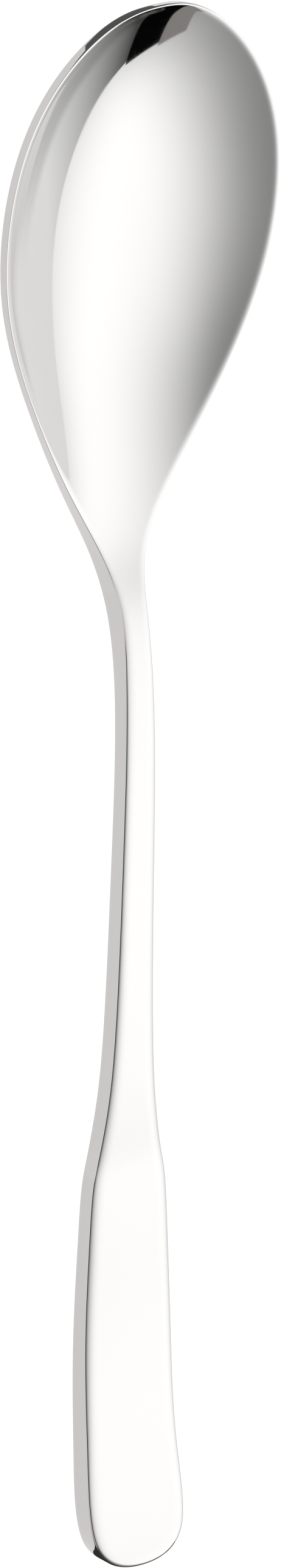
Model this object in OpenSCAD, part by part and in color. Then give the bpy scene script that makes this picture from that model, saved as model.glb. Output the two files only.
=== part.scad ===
// Tablespoon lying on its back with the bowl up.
// The long axis is Y with the bowl tip at +Y, and the spoon rests on z = 0 on its bowl and its handle.
// Its whole edge is one smooth line in space. The bowl, stem and handle are lengths of that line,
// which meet face to face at the neck and at the shoulder.

/* [Spoon] */
// Overall length from the handle end to the bowl tip
spoon_length = 208; // [190:1:225]
// Metal thickness half way along the stem
metal_thickness = 2.8; // [2.4:0.1:3.2]
// Radius on the long edges
edge_radius = 0.2; // [0.1:0.05:0.3]

/* [Bowl] */
// Width of the bowl at its widest
bowl_width = 41; // [37:0.5:45]
// Depth of the bowl below its rim where it is widest
bowl_depth = 5.5; // [4.5:0.1:7]

/* [Handle] */
// Width of the handle at its widest, near the end
handle_width = 14.6; // [13:0.2:17]
// Slope of the upper face at its very edge, which it rolls down to over a narrow border
crown_slope = 0.45; // [0.2:0.05:0.6]

/* [Hidden] */
steel = [0.82, 0.82, 0.83];

// Guide points of the edge: distance along, half width, height of the upper edge, metal thickness,
// and how tightly the upper face is hollowed, where 1 is the hollow at the widest of the bowl.
// They run from the handle end to the bowl tip, and the smooth edge line passes close to them.
edge_points = [
    [-0.6, 0, 6.8, 3.5, 0],
    [1.2, 8.1, 5.6, 3.7, 0],
    [15, 6.8, 3.6, 3.5, 0],
    [30, 6.9, 3.2, 3.0, 0],
    [44, 6.2, 3.7, 2.8, 0],
    [52, 5.8, 4.0, 2.8, 0],
    [55, 5.0, 4.1, 2.8, 0],
    [60, 4.1, 4.6, 2.9, 0],
    [67, 3.2, 5.2, 2.9, 0],
    [80, 2.7, 6.0, 2.9, 0],
    [95, 2.5, 6.9, 2.8, 0],
    [110, 2.3, 7.8, 2.7, 0],
    [121, 2.1, 7.8, 2.9, 0],
    [129, 1.8, 6.9, 3.8, 0.4],
    [136, 2.9, 4.2, 3.3, 1.4],
    [144, 7.6, 4.1, 2.3, 1.8],
    [157, 14.7, 6.6, 1.6, 1.6],
    [172, 20.7, 8.6, 1.6, 1],
    [188, 20.7, 10.8, 1.6, 1],
    [200, 15.5, 11.9, 1.6, 1],
    [207.5, 6.6, 13.3, 1.6, 1],
    [208.25, 0, 14.2, 1.6, 1]
];

// Guide points at which the pieces meet, and the one at mid stem that sets the thickness
shoulder = 5;
mid_stem = 10;
neck = 12;
tip = len(edge_points) - 1;

// Metal that the middle of the bowl has over its rim
bowl_swell = 0.4;
// Width of the rolled border of the upper face on the handle, on the stem and on the rim of the bowl,
// and the distances along between which the border of the stem narrows to that of the rim
handle_border = 2.1;
stem_border = 1.8;
rim_border = 1;
rim_from = 112;
rim_to = 140;

// Fineness of the edge line and of the rounded edges
line_step = 0.05;
round_angles = [0, 30, 60, 90];

function ease(a, b, s) = let (u = min(1, max(0, (s - a) / (b - a)))) u * u * (3 - 2 * u);

// The guide points with the first and last inner ones mirrored over the axis, so the ends are round
function mirrored(p) = [p[0], -p[1], p[2], p[3], p[4]];
function both_ends(points) = concat([mirrored(points[1])], points, [mirrored(points[tip - 1])]);

// A point of the cubic B-spline of a list, t points along it, and its direction there
function share(f) = [pow(1 - f, 3), 3 * pow(f, 3) - 6 * pow(f, 2) + 4,
    1 + 3 * f + 3 * pow(f, 2) - 3 * pow(f, 3), pow(f, 3)] / 6;
function lean(f) = [-pow(1 - f, 2), 3 * pow(f, 2) - 4 * f, 1 + 2 * f - 3 * pow(f, 2), pow(f, 2)] / 2;
function span(t) = min(floor(t), tip - 1);
function four(points, i) = [for (k = [i:i + 3]) points[k]];
function along(points, t) = share(t - span(t)) * four(points, span(t));
function heading(points, t) = lean(t - span(t)) * four(points, span(t));

// Guide points brought to the chosen length, widths and thickness
plain_line = [for (t = [0:line_step:tip]) along(both_ends(edge_points), t)];
length_scale = spoon_length / plain_line[len(plain_line) - 1][0];
bowl_scale = bowl_width / 2 / max([for (p = plain_line) p[1]]);
handle_scale = handle_width / 2 / max([for (p = plain_line) if (p[0] < edge_points[shoulder][0]) p[1]]);
thickness_scale = metal_thickness / edge_points[mid_stem][3];
function width_scale(i) = i > neck ? bowl_scale : handle_scale;
guide = both_ends([for (i = [0:tip]) let (p = edge_points[i])
    [p[0] * length_scale, p[1] * width_scale(i), p[2], p[3] * thickness_scale, p[4]]]);

// Edge height, squared half width, thickness and hollow, by distance along
edge_line = [for (t = [0:line_step:tip]) along(guide, t)];
height_at = [for (p = edge_line) [p[0], p[2]]];
width_at = [for (p = edge_line) [p[0], p[1] * p[1]]];
thickness_at = [for (p = edge_line) [p[0], p[3]]];
hollow_at = [for (p = edge_line) [p[0], p[4]]];
function at(t) = along(guide, t)[0];

// The hollow is parabolic across and grows from nothing past the neck. Over the border the upper face
// falls as the cube of the way out, so its slope grows from nothing to the crown's slope at the edge.
function hollow(s, depth) = depth * lookup(s, hollow_at) / pow(bowl_width / 2, 2);
function border(s) = handle_border
    + (stem_border - handle_border) * ease(at(shoulder), at(mid_stem), s)
    + (rim_border - stem_border) * ease(rim_from * length_scale, rim_to * length_scale, s);
function crown(s, inset) = crown_slope * border(s) / 3 * pow(max(0, 1 - inset / border(s)), 3);

// Heights of the upper and lower faces
function within(s, x) = lookup(s, width_at) - x * x;
function upper(s, x, inset) = lookup(s, height_at) - hollow(s, bowl_depth) * within(s, x) - crown(s, inset);
function lower(s, x) = lookup(s, height_at) - lookup(s, thickness_at)
    - hollow(s, bowl_depth + bowl_swell) * within(s, x);
rest_height = min([for (p = edge_line) lower(p[0], 0)]);

// Steps round the edge, from the border of the upper face to the flat of the lower one.
// Each has its inset from the outline, its distance from the face, and whether that is the upper face.
function rounding(a, is_upper) = [edge_radius * (1 - sin(a)), edge_radius * (1 - cos(a)), is_upper];
function edge_steps(s) = concat(
    [[border(s), 0, true], [(border(s) + edge_radius) / 2, 0, true]],
    [for (a = round_angles) rounding(a, true)],
    [for (a = round_angles) rounding(90 - a, false)]);
edge_count = len(edge_steps(0));

// Inward direction at the outline. It is square to the long axis along the sides and turns to the
// outline's own normal round the two ends, so the pieces have flat ends where they meet.
// The turn depends on how far the outline runs along the axis, and on the distance from the handle end.
side_run = 0.85;
end_run = 0.5;
turn_from = 12;
turn_to = 40;
function inward(t) = let (
    d = heading(guide, t),
    run = d[0] / norm([d[0], d[1]]),
    rise = d[1] / norm([d[0], d[1]]),
    square = ease(end_run, side_run, run) * ease(turn_from, turn_to, along(guide, t)[0])
) [-(1 - square) * run - square / max(run, end_run), (1 - square) * rise];

// A point of the right half, the left half or the middle line, as side is 1, -1 or 0
function placed(x, s, z) = [x, s - spoon_length / 2, z - rest_height];
function on_edge(t, k, side) = let (
    p = along(guide, t),
    step = edge_steps(p[0])[k],
    x = max(0, p[1] + inward(t)[0] * step[0]),
    s = p[0] + inward(t)[1] * step[0],
    z = step[2] ? upper(s, x, step[0]) - step[1] : lower(s, x) + step[1]
) placed(side * x, s, z);

// Points across a face, from the edge point k of one side to the same point of the other
function across(t, count, k, side) = let (p = on_edge(t, k, side), s = p[1] + spoon_length / 2)
    [for (i = [1:count - 1]) let (x = p[0] * (1 - 2 * i / count))
        placed(x, s, k == 0 ? upper(s, x, border(s)) : lower(s, x))];

// One closed loop round the metal
function loop(t, count) = concat(
    [for (k = [0:edge_count - 1]) on_edge(t, k, 1)],
    across(t, count, edge_count - 1, 1),
    [for (k = [edge_count - 1:-1:0]) on_edge(t, k, -1)],
    across(t, count, 0, -1));

// What a loop closes on at an end: a line down the middle of a round end, or the centre of a flat one,
// and which of those points the loop's point j goes to
function is_round(t) = t == 0 || t == tip;
function closing(t) = is_round(t) ? [for (k = [0:edge_count - 1]) on_edge(t, k, 0)] :
    [placed(0, at(t), (upper(at(t), 0, border(at(t))) + lower(at(t), 0)) / 2)];
function closes_on(t, j, count) =
    !is_round(t) ? 0 :
    j < edge_count ? j :
    j < edge_count + count - 1 ? edge_count - 1 :
    j < 2 * edge_count + count - 1 ? 2 * edge_count + count - 2 - j : 0;
function closing_faces(t, count, row, base, is_first) = let (n = 2 * (edge_count + count - 1))
    [for (j = [0:n - 1])
        let (k = (j + 1) % n, a = base + closes_on(t, j, count), b = base + closes_on(t, k, count))
        each concat(
            [is_first ? [a, row + j, row + k] : [a, row + k, row + j]],
            a == b ? [] : [is_first ? [a, row + k, b] : [a, b, row + k]])];

// Solid between two places on the edge line, with flat ends except at the handle end and the tip
module metal(first, last, steps, count) {
    loops = [for (i = [(is_round(first) ? 1 : 0):steps - (is_round(last) ? 1 : 0)])
        loop(first + (last - first) * i / steps, count)];
    n = len(loops[0]);
    rows = len(loops);
    skin = [for (i = [0:rows - 2], j = [0:n - 1])
        let (a = i * n + j, b = i * n + (j + 1) % n)
        each [[a, b + n, b], [a, a + n, b + n]]];
    base = n * rows;
    polyhedron(
        points = concat([for (row = loops) each row], closing(first), closing(last)),
        faces = concat(skin,
            closing_faces(first, count, 0, base, true),
            closing_faces(last, count, base - n, base + len(closing(first)), false)),
        convexity = 6);
}

// Dished bowl with its rim, from the neck to the tip
module bowl() {
    color(steel) metal(neck, tip, steps = 63, count = 14);
}

// Slim bar that rises over an arch between the shoulder and the neck
module stem() {
    color(steel) metal(shoulder, neck, steps = 35, count = 4);
}

// Wide flat grip from its rounded end to the shoulder
module handle() {
    color(steel) metal(0, shoulder, steps = 40, count = 6);
}

bowl();
stem();
handle();
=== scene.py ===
# Tablespoon of mirror-polished stainless steel, lying bowl up on a white table.
import math

import bpy
import numpy as np
from mathutils import Matrix, Vector


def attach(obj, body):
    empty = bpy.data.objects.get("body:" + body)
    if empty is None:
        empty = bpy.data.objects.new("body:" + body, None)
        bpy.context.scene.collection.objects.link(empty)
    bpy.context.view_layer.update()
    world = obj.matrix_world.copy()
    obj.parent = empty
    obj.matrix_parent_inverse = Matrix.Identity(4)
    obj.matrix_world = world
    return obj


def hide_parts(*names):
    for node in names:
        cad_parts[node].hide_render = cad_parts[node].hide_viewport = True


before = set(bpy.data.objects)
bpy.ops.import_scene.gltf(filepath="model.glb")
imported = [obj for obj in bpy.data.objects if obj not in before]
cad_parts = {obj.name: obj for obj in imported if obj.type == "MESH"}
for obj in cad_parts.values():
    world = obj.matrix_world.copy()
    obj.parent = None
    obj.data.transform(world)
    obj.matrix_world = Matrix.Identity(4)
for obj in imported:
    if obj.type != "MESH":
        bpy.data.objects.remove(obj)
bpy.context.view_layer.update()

# Blank
# The spoon is struck from one strip of stainless steel, so its whole edge is one smooth line in space,
# and the handle, stem and bowl are lengths of it. Distances are millimetres, measured along the spoon
# from the handle end and up from the table.
MILLIMETRE = 0.001
SPOON_LENGTH = 208.0

# Guide points of the edge: distance along, half width, height of the upper edge, metal thickness,
# and how tightly the upper face is hollowed, where 1 is the hollow at the widest of the bowl
GUIDE = np.array([
    [-0.6, 0, 6.8, 3.5, 0],
    [1.2, 8.1, 5.6, 3.7, 0],
    [15, 6.8, 3.6, 3.5, 0],
    [30, 6.9, 3.2, 3.0, 0],
    [44, 6.2, 3.7, 2.8, 0],
    [52, 5.8, 4.0, 2.8, 0],
    [55, 5.0, 4.1, 2.8, 0],
    [60, 4.1, 4.6, 2.9, 0],
    [67, 3.2, 5.2, 2.9, 0],
    [80, 2.7, 6.0, 2.9, 0],
    [95, 2.5, 6.9, 2.8, 0],
    [110, 2.3, 7.8, 2.7, 0],
    [121, 2.1, 7.8, 2.9, 0],
    [129, 1.8, 6.9, 3.8, 0.4],
    [136, 2.9, 4.2, 3.3, 1.4],
    [144, 7.6, 4.1, 2.3, 1.8],
    [157, 14.7, 6.6, 1.6, 1.6],
    [172, 20.7, 8.6, 1.6, 1],
    [188, 20.7, 10.8, 1.6, 1],
    [200, 15.5, 11.9, 1.6, 1],
    [207.5, 6.6, 13.3, 1.6, 1],
    [208.25, 0, 14.2, 1.6, 1],
])
ALONG, WIDTH, HEIGHT, THICKNESS, HOLLOW = range(5)
SHOULDER, MID_STEM, NECK, TIP = 5, 10, 12, len(GUIDE) - 1
OVER_AXIS = np.array([1, -1, 1, 1, 1])
GUIDE_AND_ENDS = np.vstack([GUIDE[1] * OVER_AXIS, GUIDE, GUIDE[-2] * OVER_AXIS])


def blended(t, shares):
    """Sum of the four guide points round each place t, weighted by their shares of the fraction of t."""
    first = np.clip(np.floor(t).astype(int), 0, TIP - 1)
    return sum(share[:, None] * GUIDE_AND_ENDS[first + k] for k, share in enumerate(shares(t - first)))


def edge(t):
    """Cubic B-spline of the guide points. The inner ones are mirrored over the axis past each end,
    so the line crosses the axis squarely and both ends of the spoon are round."""
    return blended(t, lambda f: [
        (1 - f) ** 3 / 6, (3 * f ** 3 - 6 * f ** 2 + 4) / 6,
        (1 + 3 * f + 3 * f ** 2 - 3 * f ** 3) / 6, f ** 3 / 6])


def heading(t):
    """Direction of that spline along and across, as a unit vector: its first derivative, made one long."""
    d = blended(t, lambda f: [
        -(1 - f) ** 2 / 2, (3 * f ** 2 - 4 * f) / 2, (1 + 2 * f - 3 * f ** 2) / 2, f ** 2 / 2])[:, :2]
    return d / np.linalg.norm(d, axis=1, keepdims=True)


def ease(low, high, value):
    """Smooth step from 0 at low to 1 at high: three squares less two cubes of the share between them."""
    u = np.clip((value - low) / (high - low), 0, 1)
    return u * u * (3 - 2 * u)


LINE_SAMPLES = 20001
EDGE_LINE = edge(np.linspace(0, TIP, LINE_SAMPLES))


def at(s, column):
    """Value of a column of the edge line at a distance along the spoon."""
    return np.interp(s, EDGE_LINE[:, ALONG], EDGE_LINE[:, column])


SHOULDER_AT, MID_STEM_AT = edge(np.array([SHOULDER, MID_STEM], float))[:, ALONG]
BOWL_HALF_WIDTH, BOWL_DEPTH, BOWL_SWELL = 20.5, 5.5, 0.4
HANDLE_BORDER, STEM_BORDER, RIM_BORDER = 2.1, 1.8, 1.0
EDGE_SLOPE = 0.45
RIM_FROM, RIM_TO = 112.0, 140.0
END_ROUNDING, BAR_ROUNDING, RIM_ROUNDING, TIP_ROUNDING = 0.5, 0.2, 0.06, 0.3
END_FROM, END_TO, TIP_FROM, TIP_TO = 0.5, 5.0, 204.0, 208.0
UNDER_ROUNDING = 0.25


def hollow(s, depth):
    """Curvature of a hollow that is parabolic across and this deep at the widest of the bowl."""
    return depth * at(s, HOLLOW) / BOWL_HALF_WIDTH ** 2


def border(s):
    """Width of the border over which the upper face rolls down to its edge: widest on the handle, narrower
    on the stem and fine along the rim of the bowl."""
    to_stem = ease(SHOULDER_AT, MID_STEM_AT, s)
    to_rim = ease(RIM_FROM, RIM_TO, s)
    return HANDLE_BORDER + (STEM_BORDER - HANDLE_BORDER) * to_stem + (RIM_BORDER - STEM_BORDER) * to_rim


def rounding(s):
    """Radius of the upper edge: full at the handle end, fine on the handle and stem, finer along the rim,
    and fuller again at the tip."""
    to_bar, to_rim, to_tip = ease(END_FROM, END_TO, s), ease(RIM_FROM, RIM_TO, s), ease(TIP_FROM, TIP_TO, s)
    return (END_ROUNDING + (BAR_ROUNDING - END_ROUNDING) * to_bar + (RIM_ROUNDING - BAR_ROUNDING) * to_rim
            + (TIP_ROUNDING - RIM_ROUNDING) * to_tip)


def upper(s, x, inset):
    """Upper face: the edge height, less the hollow, less a fall across the border that goes as the cube
    of the way out, so that its slope grows to the edge slope."""
    fall = EDGE_SLOPE * border(s) / 3 * np.maximum(0, 1 - inset / border(s)) ** 3
    return at(s, HEIGHT) - hollow(s, BOWL_DEPTH) * (at(s, WIDTH) ** 2 - x ** 2) - fall


def lower(s, x):
    """Lower face: the edge height less the thickness and a hollow that leaves the middle a little thicker."""
    sunk = hollow(s, BOWL_DEPTH + BOWL_SWELL) * (at(s, WIDTH) ** 2 - x ** 2)
    return at(s, HEIGHT) - at(s, THICKNESS) - sunk


TABLE_LEVEL = lower(EDGE_LINE[:, ALONG], 0).min()
END_RUN, SIDE_RUN = 0.5, 0.85
TURN_FROM, TURN_TO = 12.0, 40.0
BORDER_STEPS, ROUND_STEPS, SIDE_STEPS = 14, 8, 5
NORMAL_STEP = 0.002


def edge_steps(s):
    """Steps round the edge at each distance along: inset from the outline, drop below the upper face, lift
    above the lower one, and the share of the lower one in the height. They cross the border, turn a quarter
    circle, go down the side and turn a quarter circle under."""
    r, wide, under = rounding(s)[:, None], border(s)[:, None], UNDER_ROUNDING
    across = np.linspace(1, 0, BORDER_STEPS, endpoint=False)
    turn = np.linspace(0, math.pi / 2, ROUND_STEPS + 1)
    down = np.linspace(0, 1, SIDE_STEPS + 1)[1:-1]
    side, foot = np.zeros((len(s), len(down))), np.zeros((len(s), len(turn)))
    inset = [r + (wide - r) * across, r * (1 - np.sin(turn)), side, foot + under * (1 - np.cos(turn))]
    drop = [0 * wide * across, r * (1 - np.cos(turn)), side + r, foot]
    lift = [0 * wide * across, 0 * r * turn, side + under, foot + under * (1 - np.sin(turn))]
    share = [0 * across, 0 * turn, down, 1 + 0 * turn]
    return np.hstack(inset), np.hstack(drop), np.hstack(lift), np.hstack(share)


def loops(t, top, bottom):
    """Closed loops round the metal at places t of the edge line. The right half runs from the middle of the
    upper face over the edge to the middle of the lower one, and the left half is its mirror image back up.
    The inset goes square to the long axis along the sides and along the outline's normal round the ends."""
    line, (run, rise) = edge(t), heading(t).T
    inset, drop, lift, share = edge_steps(line[:, ALONG])
    square = ease(END_RUN, SIDE_RUN, run) * ease(TURN_FROM, TURN_TO, line[:, ALONG])
    in_x = -(1 - square) * run - square / np.maximum(run, END_RUN)
    x = np.maximum(0, line[:, WIDTH, None] + in_x[:, None] * inset)
    s = line[:, ALONG, None] + ((1 - square) * rise)[:, None] * inset
    z = (1 - share) * (upper(s, x, inset) - drop) + share * (lower(s, x) + lift)

    first, last = s[:, :1], s[:, -1:]
    x_top = x[:, :1] * np.linspace(0, 1, top, endpoint=False)
    x_bottom = x[:, -1:] * np.linspace(0, 1, bottom, endpoint=False)[::-1]
    x = np.hstack([x_top, x, x_bottom])
    z = np.hstack([upper(first, x_top, border(first)), z, lower(last, x_bottom)])
    s = np.hstack([first + 0 * x_top, s, last + 0 * x_bottom])
    right = np.stack([x, s - SPOON_LENGTH / 2, z - TABLE_LEVEL], axis=2)
    return np.hstack([right, right[:, -2:0:-1] * [-1, 1, 1]])


def normals(t, top, bottom):
    """Unit normals of those loops: the step round the loop crossed with the step along the spoon, the former
    a mean of the steps to both neighbours that gives more weight to the nearer one."""
    t = np.clip(t, NORMAL_STEP, TIP - NORMAL_STEP)
    here = loops(t, top, bottom)
    ahead = loops(t + NORMAL_STEP / 2, top, bottom) - loops(t - NORMAL_STEP / 2, top, bottom)
    on, back = np.roll(here, -1, axis=1) - here, here - np.roll(here, 1, axis=1)
    on_long, back_long = (np.linalg.norm(step, axis=2, keepdims=True) for step in (on, back))
    n = np.cross(on / on_long ** 2 + back / back_long ** 2, ahead)
    return n / np.linalg.norm(n, axis=2, keepdims=True)


def metal(name, first, last, rows, top, bottom):
    """Piece of the blank between two places of the edge line: a grid of loops. At a round end the loop closes
    on the line down its middle, and at a flat one it closes on a centre point."""
    t = np.linspace(first, last, rows)
    points, facing = loops(t, top, bottom), normals(t, top, bottom)
    n = points.shape[1]
    half = n // 2
    column = np.arange(n)
    right = np.where(column > half, n - column, column)
    onto = np.clip(right, top, half - bottom)
    grid = np.arange(rows * n).reshape(rows, n)
    centres, caps = [], []
    for row, place, turned in ((0, first, 1), (rows - 1, last, -1)):
        if place in (0, TIP):
            grid[row] = grid[row, onto]
            continue
        centre = rows * n + len(centres)
        centres.append((points[row, 0] + points[row, half]) / 2)
        ring = np.stack([np.full(n, centre), grid[row], np.roll(grid[row], -1)], axis=1)
        caps.append((ring[:, ::-turned], [0, -turned, 0]))

    a, b = grid[:-1], np.roll(grid[:-1], -1, axis=1)
    d, c = grid[1:], np.roll(grid[1:], -1, axis=1)
    quads = np.stack([a, b, c, d], axis=2).reshape(-1, 4)
    closes_first, closes_last = quads[:, 0] == quads[:, 1], quads[:, 2] == quads[:, 3]
    skin = [quads[~(closes_first | closes_last)], quads[closes_first][:, 1:], quads[closes_last][:, :3]]

    flat_points = np.vstack([points.reshape(-1, 3)] + centres)
    flat_facing = facing.reshape(-1, 3)
    corners = [flat_facing[faces].reshape(-1, 3) for faces in skin]
    corners += [np.tile(toward, (3 * len(faces), 1)) for faces, toward in caps]
    faces = skin + [cap for cap, toward in caps]
    used = np.unique(np.concatenate([f.ravel() for f in faces]))
    mesh = bpy.data.meshes.new(name)
    numbered = [face for part in faces for face in np.searchsorted(used, part).tolist()]
    mesh.from_pydata(flat_points[used] * MILLIMETRE, [], numbered)
    mesh.polygons.foreach_set("use_smooth", np.ones(len(mesh.polygons), bool))
    mesh.normals_split_custom_set(np.vstack(corners))
    piece = bpy.data.objects.new(name, mesh)
    bpy.context.collection.objects.link(piece)
    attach(piece, "root")
    return piece


# Handle
# The wide flat grip, from its round end to the shoulder. It is blanked, coined to a thin middle with a
# thicker end and softly sloping borders, and polished along its length on a mop to a mirror.
class Wire:
    """A socket of a node tree. Arithmetic on it adds Math nodes, and node() adds any other node."""

    def __init__(self, tree, socket=None):
        self.tree, self.socket = tree, socket

    def node(self, kind, settings, inputs, output=0):
        """Adds a node of that type, makes its settings, then sets or links its sockets."""
        made = self.tree.nodes.new(kind)
        for name, value in settings.items():
            setattr(made, name, value)
        for name, value in inputs.items():
            if isinstance(value, Wire):
                self.tree.links.new(value.socket, made.inputs[name])
            else:
                made.inputs[name].default_value = value
        return Wire(self.tree, made.outputs[output]) if made.outputs else made

    def math(self, operation, *values):
        return self.node("ShaderNodeMath", {"operation": operation}, dict(enumerate(values)))

    def __add__(self, other):
        return self.math("ADD", self, other)

    def __sub__(self, other):
        return self.math("SUBTRACT", self, other)

    def __rsub__(self, other):
        return self.math("SUBTRACT", other, self)

    def __mul__(self, other):
        return self.math("MULTIPLY", self, other)

    def __truediv__(self, other):
        return self.math("DIVIDE", self, other)

    __radd__, __rmul__ = __add__, __mul__

    def eased(self, low, high):
        """Smooth step from 0 where the value is low to 1 where it is high."""
        return self.node("ShaderNodeMapRange", {"interpolation_type": "SMOOTHSTEP"},
                         {"Value": self, "From Min": low, "From Max": high})


def bare_material(name):
    """New material with no nodes yet, and the start of its wiring."""
    material = bpy.data.materials.new(name)
    material.use_nodes = True
    material.node_tree.nodes.clear()
    return material, Wire(material.node_tree)


STEEL = (0.585, 0.58, 0.575, 1)
CLEAN_ROUGHNESS, HAZE_ROUGHNESS, LINE_ROUGHNESS = 0.035, 0.02, 0.015
HAZE_DETAIL, HAZE_RANGE = 3.0, (0.45, 0.7)
LINE_DETAIL, LINE_RANGE = 2.0, (0.5, 0.75)


def polished_steel(name, line_scale, haze_scale):
    """Bright steel. Its roughness is a clean polish, plus soft patches of haze, plus fine polishing lines,
    both of them noise, and the lines are drawn out by the scale that each axis has."""
    material, wiring = bare_material(name)
    place = wiring.node("ShaderNodeTexCoord", {}, {}, "Object")
    haze = wiring.node("ShaderNodeTexNoise", {}, {
        "Vector": place, "Scale": haze_scale, "Detail": HAZE_DETAIL})
    drawn = wiring.node("ShaderNodeMapping", {}, {"Vector": place, "Scale": line_scale})
    lines = wiring.node("ShaderNodeTexNoise", {}, {"Vector": drawn, "Scale": 1.0, "Detail": LINE_DETAIL})
    rough = (CLEAN_ROUGHNESS + HAZE_ROUGHNESS * haze.eased(*HAZE_RANGE)
             + LINE_ROUGHNESS * lines.eased(*LINE_RANGE))
    shader = wiring.node("ShaderNodeBsdfPrincipled", {}, {
        "Base Color": STEEL, "Metallic": 1.0, "Roughness": rough})
    wiring.node("ShaderNodeOutputMaterial", {}, {"Surface": shader})
    return material


handle = metal("spoon_handle", 0, SHOULDER, rows=300, top=12, bottom=10)
handle.data.materials.append(polished_steel("handle_steel", line_scale=(2500, 60, 2500), haze_scale=90))
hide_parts("handle")

# Stem
# The slim bar between the shoulder and the neck, raised in an arch. It is the same strip squeezed narrow,
# with its edges rounded over, and it runs into the handle and the bowl with no seam.
stem = metal("spoon_stem", SHOULDER, NECK, rows=280, top=8, bottom=7)
stem.data.materials.append(polished_steel("stem_steel", line_scale=(3000, 60, 3000), haze_scale=110))
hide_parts("stem")

# Bowl
# The dished end that holds the food, egg-shaped, with its tip turned up. The strip is rolled thin, pressed
# into a die, trimmed to a fine rim and polished inside and out.
bowl = metal("spoon_bowl", NECK, TIP, rows=380, top=48, bottom=30)
bowl.data.materials.append(polished_steel("bowl_steel", line_scale=(900, 900, 900), haze_scale=70))
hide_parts("bowl")

# Table
# Sheet of white acrylic, far wider than the view. A slightly warm light comes through it from below round the
# spoon, and its glossy face mirrors the room at a low angle. The steel mirrors both, and the camera sees the
# sheet plain white, with no shadow.
TABLE_HALF, ACRYLIC_IOR, ACRYLIC_GREY, WHITE = 30.0, 1.4, (0.15, 0.15, 0.15, 1), (1, 1, 1, 1)
ACRYLIC_ROUGHNESS, GLOSS_ROUGHNESS = 0.9, 0.02
GLOW_MOST, GLOW_LEAST, GLOW_FROM, GLOW_TO = 0.92, 0.4, 0.13, 0.4
GLOW_SHAPE, GLOW_TINT = (4.0, 1.0, 1.0), (1.022, 1.0, 0.992)


def sheet(name, corners, material):
    """Flat four-cornered sheet that stands in the studio and isn't part of the spoon."""
    mesh = bpy.data.meshes.new(name)
    mesh.from_pydata(corners, [], [[0, 1, 2, 3]])
    mesh.materials.append(material)
    made = bpy.data.objects.new(name, mesh)
    bpy.context.collection.objects.link(made)
    return made


acrylic, wiring = bare_material("white_acrylic")
place = wiring.node("ShaderNodeTexCoord", {}, {}, "Object")
drawn_in = wiring.node("ShaderNodeVectorMath", {"operation": "MULTIPLY"}, {0: place, 1: GLOW_SHAPE})
away = wiring.node("ShaderNodeVectorMath", {"operation": "LENGTH"}, {0: drawn_in}, "Value")
glow = GLOW_MOST + (GLOW_LEAST - GLOW_MOST) * away.eased(GLOW_FROM, GLOW_TO)
camera_sees = wiring.node("ShaderNodeLightPath", {}, {}, "Is Camera Ray")
warm = wiring.node("ShaderNodeVectorMath", {"operation": "SCALE"}, {
    0: GLOW_TINT, "Scale": glow * (1 - camera_sees)})
shown = wiring.node("ShaderNodeVectorMath", {"operation": "ADD"}, {0: warm, 1: camera_sees})
lit_through = wiring.node("ShaderNodeBsdfPrincipled", {}, {
    "Base Color": ACRYLIC_GREY, "Roughness": ACRYLIC_ROUGHNESS, "Specular IOR Level": 0.0,
    "Emission Color": shown, "Emission Strength": 1.0})
gloss = wiring.node("ShaderNodeBsdfGlossy", {}, {"Color": WHITE, "Roughness": GLOSS_ROUGHNESS})
mirrored = wiring.node("ShaderNodeFresnel", {}, {"IOR": ACRYLIC_IOR}) * (1 - camera_sees)
face = wiring.node("ShaderNodeMixShader", {}, {0: mirrored, 1: lit_through, 2: gloss})
wiring.node("ShaderNodeOutputMaterial", {}, {"Surface": face})
sheet("table", np.array([[-1, -1, 0], [1, -1, 0], [1, 1, 0], [-1, 1, 0]]) * TABLE_HALF, acrylic)

# Light panel
# One big flat diffuser sheet, about half a metre off, faces the spoon from above its right side. It is lit
# from behind near its middle, so that it dims outwards, most quickly towards the handle.
PANEL_AWAY = 0.52
TO_PANEL = np.array([0.66, -0.28, 0.7])
PANEL_FACES = TO_PANEL / np.linalg.norm(TO_PANEL)
PANEL_ACROSS = np.cross([0, 0, 1], PANEL_FACES) / np.linalg.norm(PANEL_FACES[:2])
PANEL_RISES = np.cross(PANEL_FACES, PANEL_ACROSS)
PANEL_OUTLINE = [(-0.85, -0.26), (0.6, -0.26), (0.6, 0), (-0.85, 1.9)]
PANEL_LEAST, PANEL_GAIN = 0.36, 1.36
ACROSS_MIDDLE, ACROSS_SPREADS, ACROSS_POWERS = -0.115, (0.22, 0.55), (2.0, 4.0)
RISES_MIDDLE, RISES_SPREADS, RISES_POWERS = -0.04, (0.4, 0.66), (2.0, 2.0)


def along(place, direction):
    """Distance of a place along a direction: the sum of the products of their parts."""
    x, y, z = (place.node("ShaderNodeSeparateXYZ", {}, {"Vector": place}, axis) for axis in "XYZ")
    return float(direction[0]) * x + float(direction[1]) * y + float(direction[2]) * z


def fading(value, middle, spreads, powers):
    """Exponent of a bell curve with a spread and a power of its own on each side: minus the distance from
    the middle over the spread, raised to the power."""
    short = value.math("MAXIMUM", middle - value, 0.0) / spreads[0]
    past = value.math("MAXIMUM", value - middle, 0.0) / spreads[1]
    return -1 * short.math("POWER", short, powers[0]) - past.math("POWER", past, powers[1])


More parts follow.
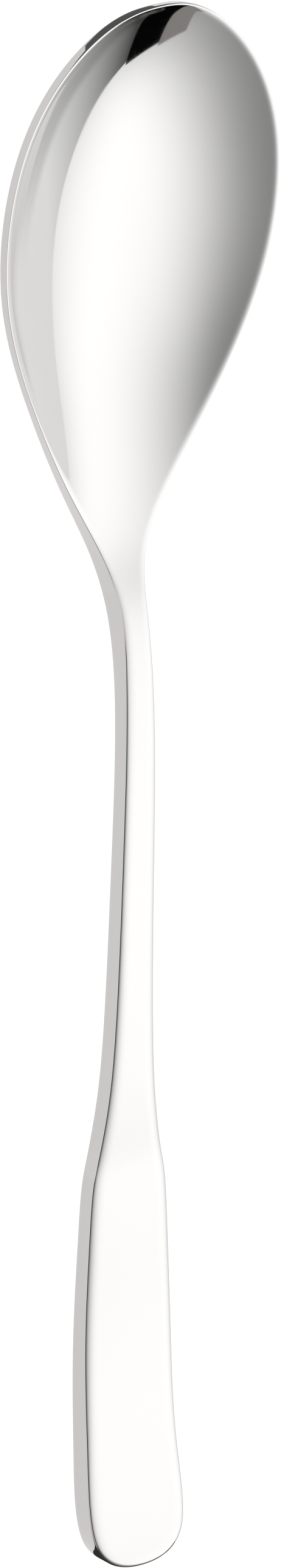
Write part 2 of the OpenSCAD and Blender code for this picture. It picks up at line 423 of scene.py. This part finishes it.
diffuser, wiring = bare_material("diffuser_sheet")
place = wiring.node("ShaderNodeTexCoord", {}, {}, "Object")
across_fade = fading(along(place, PANEL_ACROSS), ACROSS_MIDDLE, ACROSS_SPREADS, ACROSS_POWERS)
rises_fade = fading(along(place, PANEL_RISES), RISES_MIDDLE, RISES_SPREADS, RISES_POWERS)
bell = wiring.math("EXPONENT", across_fade + rises_fade)
lit = wiring.node("ShaderNodeEmission", {}, {"Color": PANEL_LEAST + PANEL_GAIN * bell, "Strength": 1.0})
wiring.node("ShaderNodeOutputMaterial", {}, {"Surface": lit})
panel_corners = [
    PANEL_AWAY * PANEL_FACES + across * PANEL_ACROSS + rises * PANEL_RISES for across, rises in PANEL_OUTLINE]
panel = sheet("light_panel", np.array(panel_corners), diffuser)
panel.visible_camera = False

# Cards and painted shade
# Two cards stand on the table beyond the handle, side by side under the panel: a black one and a grey-brown
# one, which the inside of the tip mirrors. Two dark sheets of painted shade lie flat just past the ends, over
# the table's glow, and darken the sides there in the mirror. The camera doesn't see them.
PALE_GREY, TIP_SHADE_GREY = (0.35, 0.33, 0.32, 1), (0.13, 0.13, 0.13, 1)
END_SHADE_BLACK, BLACK = (0.04, 0.04, 0.04, 1), (0.002, 0.002, 0.002, 1)
GREY_CARD = [[0.216, -0.351, 0.04], [0.244, -0.337, 0], [0.27, -0.322, 0.175], [0.222, -0.349, 0.19]]
BLACK_CARD = [[0.235, -0.345, 0], [0.296, -0.303, 0], [0.321, -0.283, 0.143], [0.262, -0.33, 0.172]]
# Where the two sheets of painted shade lie, past the tip and past the handle end, and how far off the table.
TIP_SHADE_FROM, TIP_SHADE_TO, TIP_SHADE_HALF = 0.1092, 0.4, 0.06
END_SHADE_FROM, END_SHADE_TO, END_SHADE_HALF = -0.104, -0.4, 0.2
SHADE_SHEET_LIFT = 0.0003


def lying(near, far, half):
    """Corners of a dark sheet of painted shade that lies across the axis between two places along it, just
    off the table.
    """
    return [[x, y, SHADE_SHEET_LIFT] for x, y in ((-half, near), (half, near), (half, far), (-half, far))]


for name, colour, corners in (
        ("grey_card", PALE_GREY, GREY_CARD),
        ("black_card", BLACK, BLACK_CARD),
        ("tip_painted_shade", TIP_SHADE_GREY, lying(TIP_SHADE_FROM, TIP_SHADE_TO, TIP_SHADE_HALF)),
        ("end_painted_shade", END_SHADE_BLACK, lying(END_SHADE_FROM, END_SHADE_TO, END_SHADE_HALF))):
    card_or_shade_material, wiring = bare_material(name)
    plain = wiring.node("ShaderNodeEmission", {}, {"Color": colour, "Strength": 1.0})
    wiring.node("ShaderNodeOutputMaterial", {}, {"Surface": plain})
    card_or_shade_sheet = sheet(name, corners, card_or_shade_material)
    card_or_shade_sheet.visible_camera = card_or_shade_sheet.visible_diffuse = False

# Room
# The dim studio round the panel: a pale wall to the right with a shaded foot, a soft fill from the left, and
# little else. Each is a range of directions. The camera sees plain white past the table.
ROOM_LEVEL, WALL_LEVEL, FILL_LEVEL = 0.09, 1.165, 1.06
WALL_FROM, WALL_STEEPNESS = 0.6, 4.45
FOOT_SHADE, FOOT_TOP, FOOT_END = 0.28, (0.02, 0.09), (0.85, 0.93)
FILL_SIDE, FILL_NEAR, FILL_FAR = (0, 0.2), (-0.2, -0.12), (0.4, 0.6)
LOW_SIDE, LOW_TOP, LOW_NEAR = (-0.6, -0.4), (0.3, 0.45), (-0.75, -0.55)
world = bpy.data.worlds.new("studio")
bpy.context.scene.world = world
world.use_nodes = True
world.node_tree.nodes.clear()
wiring = Wire(world.node_tree)
toward = wiring.node("ShaderNodeTexCoord", {}, {}, "Generated")
x, y, z = (wiring.node("ShaderNodeSeparateXYZ", {}, {"Vector": toward}, axis) for axis in "XYZ")
wall = wiring.math("MAXIMUM", WALL_STEEPNESS * (x - WALL_FROM), ROOM_LEVEL)
wall = wiring.math("MINIMUM", wall, WALL_LEVEL)
wall = wall * (1 - FOOT_SHADE * (1 - z.eased(*FOOT_TOP)) * (1 - x.eased(*FOOT_END)))
fill = FILL_LEVEL * (1 - x.eased(*FILL_SIDE)) * y.eased(*FILL_NEAR) * (1 - y.eased(*FILL_FAR))
low_fill = FILL_LEVEL * (1 - x.eased(*LOW_SIDE)) * (1 - z.eased(*LOW_TOP))
low_fill = low_fill * y.eased(*LOW_NEAR) * (1 - y.eased(*FILL_FAR))
light = wiring.math("MAXIMUM", wall, wiring.math("MAXIMUM", fill, low_fill))
camera_sees = wiring.node("ShaderNodeLightPath", {}, {}, "Is Camera Ray")
seen = light * (1 - camera_sees) + camera_sees
background = wiring.node("ShaderNodeBackground", {}, {"Color": WHITE, "Strength": seen})
wiring.node("ShaderNodeOutputWorld", {}, {"Surface": background})

# Camera
# Long lens above the left of the spoon, turned so that the spoon stands upright in the picture.
TILT, TOWARDS_TIP, TURN = math.radians(36), 0.35, -0.0132
FAR, SENSOR, IMAGE_HEIGHT, PIXELS_PER_MM = 1500.0, 36.0, 2576, 13.267
AIM_HEIGHT, AIM_RIGHT, AIM_UP = 6.0, 0.603, 1.711
flat = math.sqrt(1 - TOWARDS_TIP ** 2)
right = Vector((math.cos(TILT), 0, math.sin(TILT)))
up = Vector((TOWARDS_TIP * math.sin(TILT), flat, -TOWARDS_TIP * math.cos(TILT)))
back = Vector((-flat * math.sin(TILT), TOWARDS_TIP, flat * math.cos(TILT)))
right, up = (math.cos(TURN) * right + math.sin(TURN) * up, math.cos(TURN) * up - math.sin(TURN) * right)
aim = Vector((0, 0, AIM_HEIGHT)) + AIM_RIGHT * right + AIM_UP * up
lens = bpy.data.cameras.new("long_lens")
lens.sensor_width = SENSOR
lens.lens = PIXELS_PER_MM * FAR * SENSOR / IMAGE_HEIGHT
camera = bpy.data.objects.new("camera", lens)
bpy.context.collection.objects.link(camera)
turned = Matrix((right, up, back)).transposed().to_4x4()
camera.matrix_world = Matrix.Translation((aim + FAR * back) * MILLIMETRE) @ turned
bpy.context.scene.camera = camera
bpy.context.scene.view_settings.view_transform = "Standard"
